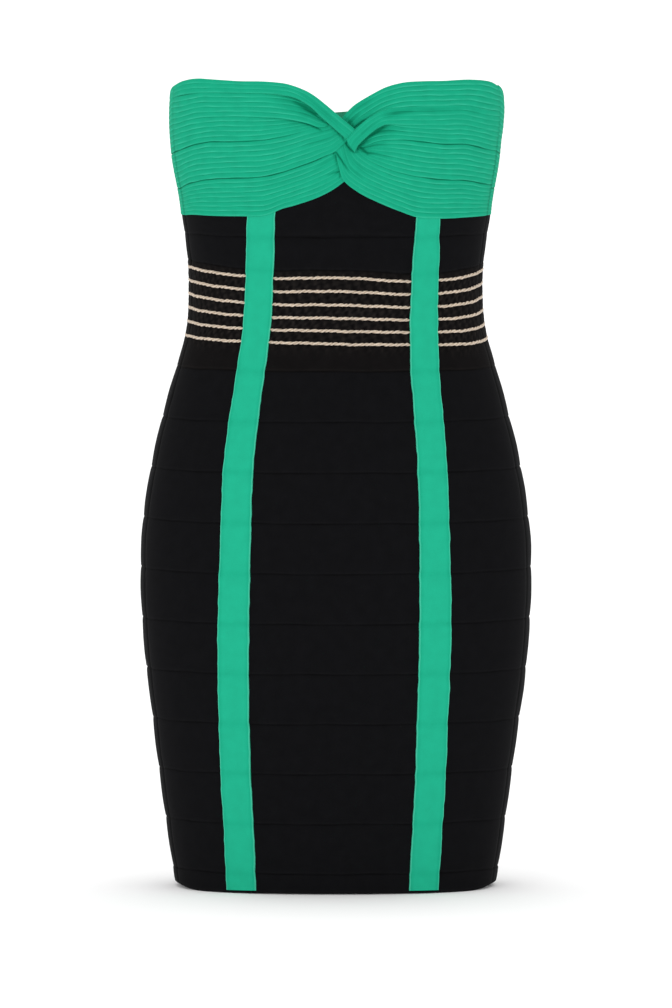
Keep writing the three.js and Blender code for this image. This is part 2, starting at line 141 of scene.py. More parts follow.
# The left cup's lines, each from the side seam at its side height to the twist, as x and height, how
# far the cloth is lifted along it, as x and lift, and how deep a seam on it is, as x and depth.
LEFT_LINES = {
    "bottom": {
        "side": 585.4,
        "points": ((-123, 586.9), (-106, 587.1), (-84, 587.7), (-62, 588.7), (-46, 595), (-36, 597.8),
                   (-22, 602.4), (-11, 606.9), (-1.2, 612.3), (7.6, 618.6)),
        "lifts": ((-140, 0.8), (-112, 1.3), (-80, 1.6), (-20, 1.6), (0, 1.1), (7.6, 0.5)),
    },
    "low_seam": {
        "side": 609,
        "points": (*LEFT_LOW_START, (-4, 643.6), (3, 647)),
        "lifts": ((-140, 0), (-14, 0), (3, -0.9)),
        "seam": ((-140, 0.8), (-110, 1), (0, 1)),
    },
    "rising_seam": {
        "side": 609,
        "points": (*LEFT_LOW_START, (-1.6, 644.2), (4.5, 649), (11, 655)),
        "lifts": ((-140, 0), (-40, 0), (-12, 1), (11, 1.2)),
        "seam": ((-140, 0.8), (-110, 1), (-20, 1), (0, 0.3)),
    },
    "high_seam": {
        "side": 640.5,
        "points": ((-124, 648.5), (-106, 652.1), (-84, 653.3), (-64, 654.7), (-48, 657.6), (-35, 660.8),
                   (-24, 663.7), (-15, 665.4), (-9, 666.6), (-3.5, 668.2), (2.5, 671.5)),
        "lifts": ((-140, 0), (-30, 0), (-10, -0.4), (3, -0.8)),
        "seam": ((-140, 1), (-80, 0.9), (-50, 0.5), (-25, 0.1)),
    },
    "under_fold": {
        "side": 664.7,
        "points": ((-121, 671.8), (-104, 674), (-84, 674.8), (-64, 675.2), (-48, 675.4), (-36, 675.8),
                   (-26, 676.4), (-18, 677), (-13, 677.6), (-9, 678.4), (-5, 679.4)),
        "lifts": ((-140, 0), (-64, -0.2), (-40, -1.2), (-5, -2.2)),
    },
    "fold": {
        "side": 664.7,
        "points": ((-121, 671.8), (-104, 674), (-84, 674.6), (-64, 674.5), (-48, 673.7), (-35.4, 671.8),
                   (-24, 669.2), (-15, 666.2), (-8.5, 666.8), (-3, 671)),
        "lifts": ((-140, 0), (-84, 0.1), (-50, 0.8), (-20, 1.5), (-3, 0.8)),
    },
    "under_strap": {
        "side": 688.2,
        "points": ((-121, 694), (-104, 695), (-84, 695.4), (-64, 695.6), (-48, 695), (-35, 693),
                   (-24, 689), (-14, 682.5), (-6.5, 676), (-1, 671.5)),
        "lifts": ((-140, -0.1), (-64, -0.4), (-46, -1.6), (-30, -3), (-1, -2.6)),
    },
    "strap_edge": {
        "side": 688.2,
        "points": ((-134.5, 691.4), (-121, 694), (-106, 694.9), (-84, 695.3), (-64, 695.2), (-48, 693.8),
                   (-34.9, 691.2), (-21.6, 683.5), (-13.4, 675.7), (-5, 668.3), (2.5, 661.8), (9.6, 655.6),
                   (13, 652.5)),
        "lifts": ((-140, 0), (-70, 0.1), (-48, 1.1), (-32, 2.2), (-10, 2.8), (13, 2.6)),
    },
    "neckline": {
        "side": 698.2,
        "points": ((-134.5, 703), (-123, 706.3), (-109, 706.3), (-84, 705.5), (-66, 705.6), (-52, 704.9),
                   (-41, 703.3), (-28.2, 698.9), (-19, 693.9), (-8.5, 685.8), (3, 676), (15.6, 665.7),
                   (19, 662.5)),
        "lifts": ((-140, 0), (-50, 0.2), (-28, 0.9), (-8, 1.8), (5, 2.4), (19, 2.4)),
    },
}

# The right cup's lines, each from the twist to the side seam.
RIGHT_LINES = {
    "bottom": {
        "side": 585.4,
        "points": ((-1, 650), (0.8, 642), (2.9, 632), (5.2, 623.8), (8.8, 618), (21.3, 608.6),
                   (39, 599.7), (57, 592.1), (72, 586.8), (92, 585.3), (112, 585.4)),
        "lifts": ((-1, 0.6), (4, 1.6), (10, 1.9), (40, 1.6), (84, 1.6), (114, 1.3), (140, 0.8)),
    },
    "low_seam": {
        "side": 612,
        "points": ((14, 656), (15.2, 651.5), (16.8, 647.4), (19, 644.6), (23, 641), 
                   *RIGHT_LOW_END),
        **RIGHT_LOW_SHAPE,
    },
    "rising_seam": {
        "side": 612,
        "points": ((15.5, 651), (19.3, 644.4), (25, 639.7), *RIGHT_LOW_END),
        **RIGHT_LOW_SHAPE,
    },
    "high_seam": {
        "side": 641.5,
        "points": ((17.5, 653), (22, 648.4), (28.5, 650.6), (36, 653.6), (47, 655.2), (60, 654.9),
                   (76, 653.1), (95, 650.7), (115, 649.2)),
        "lifts": ((17, -1.9), (24, -2), (36, -1), (55, 0), (140, 0)),
        "seam": ((20, 0), (52, 0.2), (66, 0.9), (125, 1), (138, 0.3)),
    },
    "under_strap": {
        "side": 658,
        "points": ((15.5, 655.5), (19.5, 659.5), (25.5, 666), (33, 670), (43.5, 672.5), (56, 670.5),
                   (75, 668.2), (95, 667), (115, 666)),
        "lifts": ((16, -2.2), (34, -2), (50, -0.9), (75, 0), (140, 0)),
    },
    "strap_edge": {
        "side": 658,
        "points": ((16.9, 644.8), (20.2, 650.9), (26.9, 657.5), (33, 662.6), (38.2, 666), (45, 668.4),
                   (56, 668), (75, 667.7), (95, 667), (115, 666)),
        "lifts": ((17, 4), (24, 3.4), (34, 2.4), (46, 1.2), (64, 0.4), (84, 0), (140, 0)),
    },
    "strap_top": {
        "side": 675.8,
        "points": ((9.6, 655.6), (13, 660.3), (18.5, 665.6), (24.5, 671), (31, 675.7), (39, 680.2),
                   (50, 682.8), (68, 683.8), (90, 684), (113, 683.3)),
        "lifts": ((9, 4.4), (18, 3.8), (26, 2.6), (40, 1.2), (60, 0.4), (84, 0), (140, 0)),
    },
    "under_top": {
        "side": 675.8,
        "points": ((8, 655), (13, 658), (20, 664), (26, 669), (34, 675), (43, 679.6),
                   (55, 682.8), (72, 683.8), (92, 684), (114, 683.2), (133, 678.7)),
        "lifts": ((8, -2), (30, -1.2), (55, -0.1), (140, 0)),
    },
    "neckline": {
        "side": 698.2,
        "points": ((1, 667.2), (6.5, 675.2), (13, 682.5), (20.1, 688), (33.1, 695.5), (44.7, 701.1),
                   (60, 704.8), (76.8, 705.6), (95, 705.5), (117, 705.8), (133.5, 703.3)),
        "lifts": ((1, -1.4), (20, -0.5), (40, 0), (140, 0)),
    },
}

# Folds that the twist draws into a sheet, each sunk and painted darker along it as painted shade: the tuck that
# they follow, counted from the sheet's lowest edge, the x where they begin and end, and how deep they are.
FOLDS = {
    "left_cup_low": ((6.5, -20, 4, 0.3),),
    "left_cup_middle": ((9.5, -30, -8, 0.4), (4, -30, 4, 0.35), (6, -24, 0, 0.3)),
    "left_cup_high": ((2, -44, -8, 0.4),),
    "left_cup_strap": ((1.4, -30, 12, 0.35),),
    "right_cup_low": ((3.6, 4, 26, 0.35), (5.4, 8, 34, 0.35)),
    "right_cup_middle": ((3, 14, 50, 0.5), (6, 16, 46, 0.5), (9, 26, 62, 0.5)),
    "right_cup_high": ((2.6, 4, 22, 0.5), (4, 10, 34, 0.3)),
    "right_cup_strap": ((3.2, 34, 134, 0.4), (1.6, 12, 40, 0.3)),
}

# Where the twist draws the cloth down into a pocket or a crease, and where the straps' edges throw shade, sunk a
# little and painted dark as painted shadow: how far it reaches, then x, height and depth along it.
POCKETS = {
    "left_cup_high": (
        (1.5, ((-35.4, 688.0, 0.3), (-26.4, 683.0, 0.9), (-15.4, 676.2, 1.1), (-5.5, 669.3, 0.9))),
    ),
    "left_cup_middle": (
        (1, ((-2.3, 666.3, 0.5), (2.3, 661.6, 1), (6.2, 657.0, 1), (8.9, 653.6, 0.6))),
        (0.8, ((-38.2, 672.8, 0.3), (-28.2, 670.7, 0.7), (-21.6, 668.4, 1), (-16.9, 666.1, 1),
              (-12.9, 663.7, 0.6))),
    ),
    "left_cup_low": (
        (0.7, ((-1.8, 644.2, 0.8), (0.2, 639.6, 0.6), (2.2, 630.7, 0.5), (4.1, 622.6, 0.6))),
        (0.8, ((-8.2, 624.4, 0.1), (-1.6, 626.1, 0.6), (3.0, 627.4, 1))),
    ),
    "right_cup_low": (
        (0.8, ((0.6, 644.2, 1), (4.3, 638.9, 1), (8.2, 632.8, 0.8), (11.7, 627.2, 0.2))),
        (0.8, ((8.2, 655.0, 0.9), (9.6, 650.9, 0.9), (12.9, 646.9, 1), (15.6, 644.7, 0.9),
              (18.2, 644.4, 0.4))),
    ),
    "right_cup_middle": (
        (1.3, ((18.9, 647.5, 0.7), (22.2, 651.5, 0.6), (28.2, 656.9, 0.6), (34.8, 662.0, 0.8),
              (40.8, 665.8, 0.8), (45.5, 667.5, 0.2))),
        (1, ((21.5, 648.2, 1), (24.9, 645.5, 1), (27.5, 643.0, 0.7), (32.1, 643.0, 0.1))),
        (0.8, ((12.9, 646.9, 0.9), (15.6, 644.7, 0.9), (19.1, 644.9, 0.3))),
    ),
    "right_cup_high": (
        (1.1, ((15.6, 665.6, 0.6), (20.9, 669.1, 0.9), (23.5, 671.1, 0.8), (27.8, 673.1, 0.2))),
        (1.2, ((7.6, 674.9, 0.3), (11.6, 671.6, 0.6), (15.6, 666.3, 0.6))),
    ),
    "right_cup_strap": (
        (1.8, ((42.1, 675.6, 0.2), (51.0, 677.7, 0.6), (65.5, 679.9, 0.2))),
    ),
}

# Where a tuck's rows stand across it, how far out they are, and their painted shading, painted shade in the
# groove and a
# painted highlight on the folded rib: a groove, a folded rib, and a slope.
TUCK_PROFILE = (
    (0, -0.28, -0.52), (0.06, -0.12, -0.2), (0.12, 0.13, 0.5), (0.19, 0.23, 0.9), (0.3, 0.17, 0.3),
    (0.56, 0.06, -0.04), (0.82, -0.04, -0.1), (0.94, -0.17, -0.26),
)
# A free edge sits a little in and takes a painted highlight along its roll
FREE_EDGE = (-0.1, 0.6)
TONGUE = 0.4
USUAL_TUCK = 4.2

# Colours as the cloth's share of the light that it sends back: base is the cloth's own colour, dark is painted
# shade and light a painted highlight
GREEN = {"dark": (0.0015, 0.17, 0.085), "base": (0.0085, 0.345, 0.194), "light": (0.045, 0.49, 0.31)}
GREEN_INSIDE = {"dark": (0.02, 0.2, 0.11), "base": (0.042, 0.36, 0.21), "light": (0.06, 0.42, 0.25)}
STRIPE_GREEN = {"dark": (0.006, 0.3, 0.172), "base": (0.0145, 0.402, 0.238), "light": (0.06, 0.5, 0.32)}
BLACK = {"dark": (0.0012, 0.0011, 0.0012), "base": (0.0045, 0.0045, 0.0052),
         "light": (0.0095, 0.0092, 0.01)}
# The waist's black is tinted warm, a painted warm reflection of the gold cords
WARM_BLACK = {"dark": (0.0016, 0.0012, 0.001), "base": (0.005, 0.0044, 0.0045),
              "light": (0.0155, 0.0132, 0.012)}
GOLD = {"dark": (0.19, 0.13, 0.076), "base": (0.44, 0.332, 0.225), "light": (0.63, 0.525, 0.425)}


def smooth(places, values):
    """A smooth curve through values at places, with no bend at its ends."""
    places = np.asarray(places, float)
    values = np.asarray(values, float)
    last = len(places) - 1

    def at(wanted):
        wanted = np.clip(np.asarray(wanted, float), places[0], places[-1])
        i = np.clip(np.searchsorted(places, wanted, side="right") - 1, 0, last - 1)
        before = np.where(i > 0, i - 1, i + 1)
        after = np.where(i + 2 <= last, i + 2, i)
        start, end = places[i], places[i + 1]
        half = (end - start) / 2
        pull_start = half / (start - places[before])
        pull_end = half / (places[after] - end)
        p = (wanted - start) / (end - start)
        p2, p3 = p * p, p * p * p
        return (
            (-pull_start * p3 + 2 * pull_start * p2 - pull_start * p) * values[before]
            + ((1 + pull_start) * p3 + (-1.5 - 2 * pull_start) * p2 + (-0.5 + pull_start) * p + 1) * values[i]
            + ((-1 - pull_end) * p3 + (1.5 + pull_end) * p2 + 0.5 * p) * values[i + 1]
            + (pull_end * p3 - pull_end * p2) * values[after]
        )

    return at


def column_curves(table):
    """A smooth curve for each later column of a table, by its first one."""
    columns = list(zip(*table))
    return [smooth(columns[0], column) for column in columns[1:]]


half_width, front_depth, back_depth = column_curves(RINGS)
bust_curves = column_curves(BUST_LINES)
stripe_left, stripe_right = column_curves(STRIPE_PATHS)
stripe_left_width, stripe_right_width = column_curves(STRIPE_WIDTHS)
(hem_dip_at,) = column_curves(HEM_DIPS)
left_fullness, right_fullness = column_curves(SIDE_FULLNESS)
waist_rise_at, waist_spread_at = column_curves(WAIST_RISES)


def form_point(turn, height):
    """The outside of the plain form, in millimetres from the part's origin."""
    across = np.sin(np.radians(turn))
    ahead = np.cos(np.radians(turn))
    reach = (np.abs(across) ** SQUARENESS + np.abs(ahead) ** SQUARENESS) ** (-1 / SQUARENESS)
    x = half_width(height) * across * reach
    up = (height - CUP_HEIGHT) / CUP_REACH
    aside = (np.abs(x) - CUP_MIDDLE) / CUP_REACH
    front = front_depth(height) + CUP_RISE * np.exp(-up * up - aside * aside)
    depth = np.where(ahead > 0, front, back_depth(height))
    return np.stack([x, -depth * ahead * reach, height - HOLD_HEIGHT + 0 * x], axis=-1)


def place(turn, height, out):
    """A point at a distance out from the form."""
    turn, height, out = np.broadcast_arrays(
        np.asarray(turn, float), np.asarray(height, float), np.asarray(out, float))
    around = form_point(turn + 0.5, height) - form_point(turn - 0.5, height)
    upward = form_point(turn, height + 1) - form_point(turn, height - 1)
    normal = np.cross(around, upward)
    normal /= np.linalg.norm(normal, axis=-1, keepdims=True)
    return form_point(turn, height) + normal * (out + side_fullness(turn, height))[..., None]


def side_fullness(turn, height):
    """How much fuller than the plain form the dress is near its sides."""
    turn = np.where(turn > 180, turn - 360, turn)
    near_left = np.exp(-((turn + 90) / SIDE_REACH) ** 2)
    near_right = np.exp(-((turn - 90) / SIDE_REACH) ** 2)
    return near_left * left_fullness(height) + near_right * right_fullness(height)


def turn_at(x, height):
    """The turn at which the front is x across."""
    share = np.minimum(np.abs(x) / half_width(height), 0.9999) ** SQUARENESS
    return np.sign(x) * np.degrees(np.arctan((share / (1 - share)) ** (1 / SQUARENESS)))


def side_x(height):
    """How far from the middle the side seam runs."""
    return float(form_point(float(SIDE_SEAM_TURN), float(height))[0])


def bust_line(number, turn):
    """The height of one of the bust's plain lines at a turn."""
    from_twist = np.abs(np.where(turn > 180, 360 - turn, turn - TWIST_TURN))
    return bust_curves[number](from_twist)


def waist_shift(turn, height):
    """How far up the corded waist rides: the form's own bow, and the unevenness of real wear."""
    from_middle = height - WAIST_MIDDLE
    bow = WAIST_BOW * np.maximum(1 - np.abs(from_middle) / WAIST_BOW_REACH, 0)
    fade = np.clip((np.abs(from_middle) - WAIST_FULL_RISE) / WAIST_RISE_FADE, 0, 1)
    near = 1 - fade * fade * (3 - 2 * fade)
    turn = np.where(turn > 180, turn - 360, turn)
    spread = waist_spread_at(turn) * np.clip(from_middle / TRIM_PITCH, -2.5, 2.5)
    return bow * (0.5 - np.maximum(np.cos(np.radians(turn)), 0)) + near * (waist_rise_at(turn) + spread)


def hem_dip(turn, height):
    """How far down the hem settles, which dies away at the top of its turning."""
    share = np.clip(1 - height / HEM_TURNING, 0, 1)
    return share * hem_dip_at(np.abs(np.where(turn > 180, 360 - turn, turn)))


def waver(at, seed, pitch):
    """An uneven wave between about -1 and 1, the same on each run."""
    at = np.asarray(at, float) / pitch * 2 * math.pi
    return (np.sin(at + 1.7 * seed) + 0.6 * np.sin(1.73 * at + 2.9 * seed + 1)
            + 0.4 * np.sin(2.91 * at + 4.1 * seed + 2)) / 2


def grid_faces(rows, columns, start, flipped):
    """The four-sided faces of a grid of points, numbered row by row."""
    faces = []
    for r in range(rows - 1):
        for c in range(columns - 1):
            a = start + r * columns + c
            corners = (a, a + 1, a + columns + 1, a + columns)
            faces.append(corners[::-1] if flipped else corners)
    return faces


def zip_lines(left, right, points):
    """The triangles between two lines of point numbers, the first on the left of the second."""
    faces = []
    i = j = 0
    while i < len(left) - 1 or j < len(right) - 1:
        left_next = math.inf
        right_next = math.inf
        if i < len(left) - 1:
            left_next = np.linalg.norm(points[left[i + 1]] - points[right[j]])
        if j < len(right) - 1:
            right_next = np.linalg.norm(points[left[i]] - points[right[j + 1]])
        if right_next <= left_next:
            faces.append((left[i], right[j], right[j + 1]))
            j += 1
        else:
            faces.append((left[i], right[j], left[i + 1]))
            i += 1
    return faces


def cloth_piece(name, outside, inside, painted_shading, texture, materials, nodes):
    """A closed wall of cloth between two grids of points, as a Blender object.

    The shading painted at each outside point runs from -1, painted shade in a groove, to 1, a painted highlight
    on a rib, and texture is where it lies on the cloth, in centimetres along and across. The inside takes the
    last material.
    """
    rows, columns = outside.shape[:2]
    inner_rows = inside.shape[0]
    points = np.concatenate([outside.reshape(-1, 3), inside.reshape(-1, 3)])
    start = rows * columns
    faces = grid_faces(rows, columns, 0, False)
    first_inner = len(faces)
    faces += grid_faces(inner_rows, columns, start, True)
    inner_faces = range(first_inner, len(faces))
    outer = np.arange(start).reshape(rows, columns)
    inner = start + np.arange(inner_rows * columns).reshape(inner_rows, columns)
    faces += zip_lines(outer[0], inner[0], points)
    faces += zip_lines(inner[-1], outer[-1], points)
    faces += zip_lines(inner[:, 0], outer[:, 0], points)
    faces += zip_lines(outer[:, -1], inner[:, -1], points)
    kept = np.linspace(0, rows - 1, inner_rows).round().astype(int)
    point_shading = np.concatenate([painted_shading.ravel(), 0 * inside[..., 0].ravel()])
    point_texture = np.concatenate([texture.reshape(-1, 2), texture[kept].reshape(-1, 2)])
    return mesh_piece(name, points, faces, point_shading, point_texture, materials, nodes, inner_faces)


def mesh_piece(name, points, faces, painted_shading, texture, materials, nodes, inner_faces=()):
    """A Blender object that rides the body and takes the place of its solids."""
    mesh = bpy.data.meshes.new(name)
    mesh.from_pydata((points / 1000).tolist(), [], [tuple(int(i) for i in face) for face in faces])
    for number in inner_faces:
        mesh.polygons[number].material_index = len(materials) - 1
    mesh.validate()
    mesh.attributes.new("painted_shading", "FLOAT", "POINT").data.foreach_set("value", painted_shading.astype(np.float32))
    corner_points = np.empty(len(mesh.loops), int)
    mesh.loops.foreach_get("vertex_index", corner_points)
    cloth_map = mesh.uv_layers.new(name="cloth")
    cloth_map.data.foreach_set("uv", texture[corner_points].astype(np.float32).ravel())
    mesh.shade_smooth()
    mesh.set_sharp_from_angle(angle=math.radians(60))
    for material in materials:
        mesh.materials.append(material)
    piece = bpy.data.objects.new(name, mesh)
    bpy.context.scene.collection.objects.link(piece)
    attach(piece, "root")
    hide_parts(*nodes)
    return piece


def cloth_texture(points):
    """Where each point of a grid lies on the cloth, in centimetres along and across."""
    middle = points[len(points) // 2]
    along = np.concatenate([[0], np.cumsum(np.linalg.norm(np.diff(middle, axis=0), axis=-1))])
    column = points[:, points.shape[1] // 2]
    up = np.concatenate([[0], np.cumsum(np.linalg.norm(np.diff(column, axis=0), axis=-1))])
    return np.stack(np.meshgrid(along / 10, up / 10), axis=-1)


# The black bands: how deep their seams are and how far the waist puckers, then where rows stand
# across a band and across a rib
SEAM_DEPTH = 0.42
PUCKER = 0.4
BAND_ROWS = (0, 0.5, 1, 1.6, 2.5, 4, 7, 12, 18, 25, 31.9, 36.9, 39.9, 41.4, 42.4, 43, 43.5)
RIB_ROWS = (0, 0.6, 1.4, 2.4, 3.6, 5.65, 7.7, 8.9, 9.9, 10.7)


def band_profile(along, length):
    """How far out a band stands at a distance from its lower seam, and its painted shading: painted shade in the
    seam and a painted highlight on the lip above it.
    """
    near = np.minimum(along, length - along)
    rise = 1 - np.exp(-near / 1.3)
    swell = 0.35 * np.sin(np.pi * along / length)
    lip = 0.15 * np.exp(-((along - 1.2) / 0.9) ** 2)
    shade = 0.35 * np.exp(-((along - 1.5) / 0.7) ** 2) - 0.8 * np.exp(-near / 0.6)
    return -SEAM_DEPTH + (SEAM_DEPTH + 0.05) * rise + swell + lip, shade


def rows_between(low, high, pattern):
    """The rows of one band: distance up, how far out, and painted shading."""
    length = high - low
    rows = []
    for along in pattern:
        share = along / BAND_PITCH if pattern is BAND_ROWS else along / TRIM_PITCH
        distance = along if length > 40 else share * length
        out, painted_shading = band_profile(np.float64(distance), length)
        rows.append((low + distance, float(out), float(painted_shading)))
    return rows


def skirt_rows():
    # The hem's rows: height, how far out, and painted shading, a painted highlight on its fold and painted shade
    # at its stitching
    hem = [(0, -0.7, 0), (0.5, 0, 0.2), (1.2, 0.35, 0.4), (3, 0.4, 0), (8, 0.4, 0), (11.4, 0.3, 0),
           (12.3, 0.1, -0.2), (12.8, -0.25, -0.6)]
    rows = list(hem)
    for band in range(SKIRT_BANDS):
        low = HEM_TURNING + band * BAND_PITCH
        rows += rows_between(low, low + BAND_PITCH, BAND_ROWS)
    return rows + [(SKIRT_TOP, -SEAM_DEPTH, -0.8)]


def waist_rows():
    edges = [SKIRT_TOP] + [FIRST_TRIM + trim * TRIM_PITCH for trim in range(TRIM_COUNT)] + [WAIST_TOP]
    rows = []
    for low, high in zip(edges, edges[1:]):
        rows += rows_between(low, high, RIB_ROWS)
    return rows + [(WAIST_TOP, -SEAM_DEPTH, -0.8)]


def midriff_rows():
    rows = rows_between(WAIST_TOP, MIDRIFF_SEAM, BAND_ROWS)
    rows += rows_between(MIDRIFF_SEAM, CUP_SEAM + MIDRIFF_TUCK, BAND_ROWS)
    rows.append((CUP_SEAM + MIDRIFF_TUCK, 0, 0))
    return [(level, out - MIDRIFF_SINK * min(max((level - CUP_SEAM - 1) / 2, 0), 1), painted_shading)
            for level, out, painted_shading in rows]


def peak_share(height):
    """How much of the cups' peak a row of the midriff takes part in."""
    return np.clip((height - MIDRIFF_SEAM) / (CUP_SEAM - MIDRIFF_SEAM), 0, 1)


# Soft places where the knit is drawn in: turn, height, reach in turn, reach in height, how far
SOFT_PLACES = (
    (-58, 430, 16, 9, -0.5), (-49, 462, 12, 6, -0.4), (55, 440, 14, 8, -0.5), (46, 466, 10, 5, -0.35),
    (-20, 458, 15, 5, -0.3), (14, 462, 13, 6, -0.35), (-64, 548, 9, 7, -0.5), (62, 552, 10, 6, -0.5),
    (-12, 553, 16, 5, -0.35), (-66, 300, 14, 16, 0.4), (64, 270, 15, 18, 0.4), (4, 240, 22, 14, 0.3),
    (-30, 120, 18, 12, -0.35), (33, 150, 16, 14, -0.35), (150, 452, 24, 8, -0.7), (208, 446, 22, 9, -0.7),
    (180, 420, 30, 7, -0.6), (165, 556, 20, 7, -0.5), (200, 560, 18, 6, -0.5), (130, 300, 26, 16, 0.5),
    (228, 285, 24, 18, 0.5), (172, 150, 26, 12, -0.5), (215, 110, 20, 14, -0.4), (140, 90, 18, 12, -0.4),
)


def soft_shape(turn, height):
    """The knit's soft unevenness, away from its seams."""
    out = 0.12 * waver(height + 0.6 * turn, 1, 71) + 0.1 * waver(turn, 2, 37)
    for middle, level, wide, tall, amount in SOFT_PLACES:
        across = (turn - middle) / wide
        up = (height - level) / tall
        out = out + amount * np.exp(-across * across - up * up)
    return out


def panel(name, rows, turns, seed, nodes, material):
    """A black panel of one side, from its rows of bands."""
    level, out, painted_shading = (np.array(column)[:, None] for column in zip(*rows))
    turn = turns[None, :] + 0 * level
    from_seam = np.maximum(np.exp(-((turns - turns[0]) / 1.1) ** 2), np.exp(-((turns - turns[-1]) / 1.1) ** 2))
    peak = peak_share(level) * (bust_line(0, turn) - CUP_SEAM)
    height = level + waist_shift(turn, level) + peak - hem_dip(turn, level)
    loose = np.clip(level / 12, 0, 1)
    height = height + 0.45 * loose * waver(turn * 2.2, seed + 0.013 * level.round(-1), 83)
    varying_strength = 0.75 + 0.25 * waver(turn * 2.2, seed + 0.4 * level.round(-1), 61)
    from_side = np.where(turn > 180, 360 - turn, np.abs(turn)) - 90
    varying_strength = varying_strength + 1.1 * np.exp(-(from_side / 14) ** 2) * np.clip((SKIRT_TOP - level) / 20, 0, 1)
    pucker_zone = np.exp(-((level - WAIST_MIDDLE) / 34) ** 8)
    ripple = waver(turn * 2.2 + 0.5 * level, seed, 9) + 0.6 * waver(turn * 2.2 - 0.9 * level, seed + 3, 5.5)
    lifted = out * varying_strength + soft_shape(turn, height) + PUCKER * pucker_zone * ripple - 0.5 * from_seam[None, :]
    outside = place(turn, height, lifted)
    kept = np.r_[0:len(rows) - 1:INSIDE_SKIP, len(rows) - 1]
    inside = place(turn[kept], height[kept], -CLOTH + 0 * lifted[kept])
    # Painted shading: painted shade in the seams and side seams, a painted highlight on each band's lip, and
    # around the waist a lighter tone with painted shade and highlight that follow the puckers
    shown = painted_shading * varying_strength - 0.7 * from_seam[None, :] + pucker_zone * (0.2 + 0.9 * ripple)
    plain = place(turn, height, 0)
    shown = np.clip(shown, -1, 1)
    piece = cloth_piece(name, outside, inside, shown, cloth_texture(plain), [material], nodes)
    return piece


def even_turns(start, end, length):
    return np.linspace(start, end, int(round(length / PANEL_STEP)) + 1)


# The tucked bust: how wide a fold and a seam are, how far round the twist the tucks are calm, and how
# deep a sheet's edge runs on under the next
FOLD_WIDTH = 0.4
SEAM_REACH = 0.5
TWIST_CALM = 13
UNDER_DEPTH = 1.1


def traced(side, line, step):
    """A cup line's turns, heights, lifts and seam depths, at steps that all lines of one sheet share."""
    points = list(line["points"])
    seam = (side * side_x(line["side"]), line["side"])
    points = [seam] + points if side < 0 else points + [seam]
    x_at = smooth(range(len(points)), [point[0] for point in points])
    height_at = smooth(range(len(points)), [point[1] for point in points])
    x, height = x_at(step), height_at(step)
    turn = turn_at(x, height)
    turn[0 if side < 0 else -1] = side * SIDE_SEAM_TURN
    lift = np.interp(x, *zip(*line["lifts"]))
    return turn, height, lift, np.interp(x, *zip(*line.get("seam", ((0, 0), (1, 0)))))


def shared_steps(side, lines):
    """Steps along a sheet's lines, close enough for the longest of them."""
    count = len(lines[0]["points"]) + 1
    lengths = np.zeros(count - 1)
    for line in lines:
        points = list(line["points"])
        seam = (side * side_x(line["side"]), line["side"])
        points = np.array([seam] + points if side < 0 else points + [seam])
        lengths = np.maximum(lengths, np.linalg.norm(np.diff(points, axis=0), axis=1))
    steps = []
    for i, length in enumerate(lengths):
        parts = max(int(math.ceil(length / TUCK_STEP_LENGTH)), 2)
        steps += [i + share / parts for share in range(parts)]
    return np.array(steps + [count - 1], float)


def tuck_rows(tucks):
    """The rows of a sheet: its gap between lines, the tuck that it is in, how far out, and painted shading."""
    rows = []
    for gap, count in enumerate(tucks):
        for tuck in range(count):
            rows += [(gap, tuck + across, out, painted_shading) for across, out, painted_shading in TUCK_PROFILE]
    return rows + [(len(tucks) - 1, tucks[-1], *TUCK_PROFILE[0][1:])]


def fold_depth(folds, position, x):
    """How deep the twist's folds are at a tuck of a sheet, along x."""
    depth = np.zeros_like(x)
    for tuck, begin, end, deepest in folds:
        middle, reach = (begin + end) / 2, (end - begin) / 2
        along = np.clip(1 - np.abs(x - middle) / reach, 0, 1) ** 0.7
        depth = depth + deepest * along * math.exp(-((position - tuck) / FOLD_WIDTH) ** 2)
    return depth


def pocket_depth(pockets, x, height):
    """How deep the twist's pockets and creases are at points of a sheet."""
    deepest = np.zeros_like(x)
    for reach, points in pockets:
        for (x1, h1, depth1), (x2, h2, depth2) in zip(points, points[1:]):
            run, climb = x2 - x1, h2 - h1
            share = np.clip(((x - x1) * run + (height - h1) * climb) / (run * run + climb * climb), 0, 1)
            away = np.hypot(x - x1 - share * run, height - h1 - share * climb)
            depth = (depth1 + (depth2 - depth1) * share) * np.exp(-(away / reach) ** 2)
            deepest = np.maximum(deepest, depth)
    return deepest


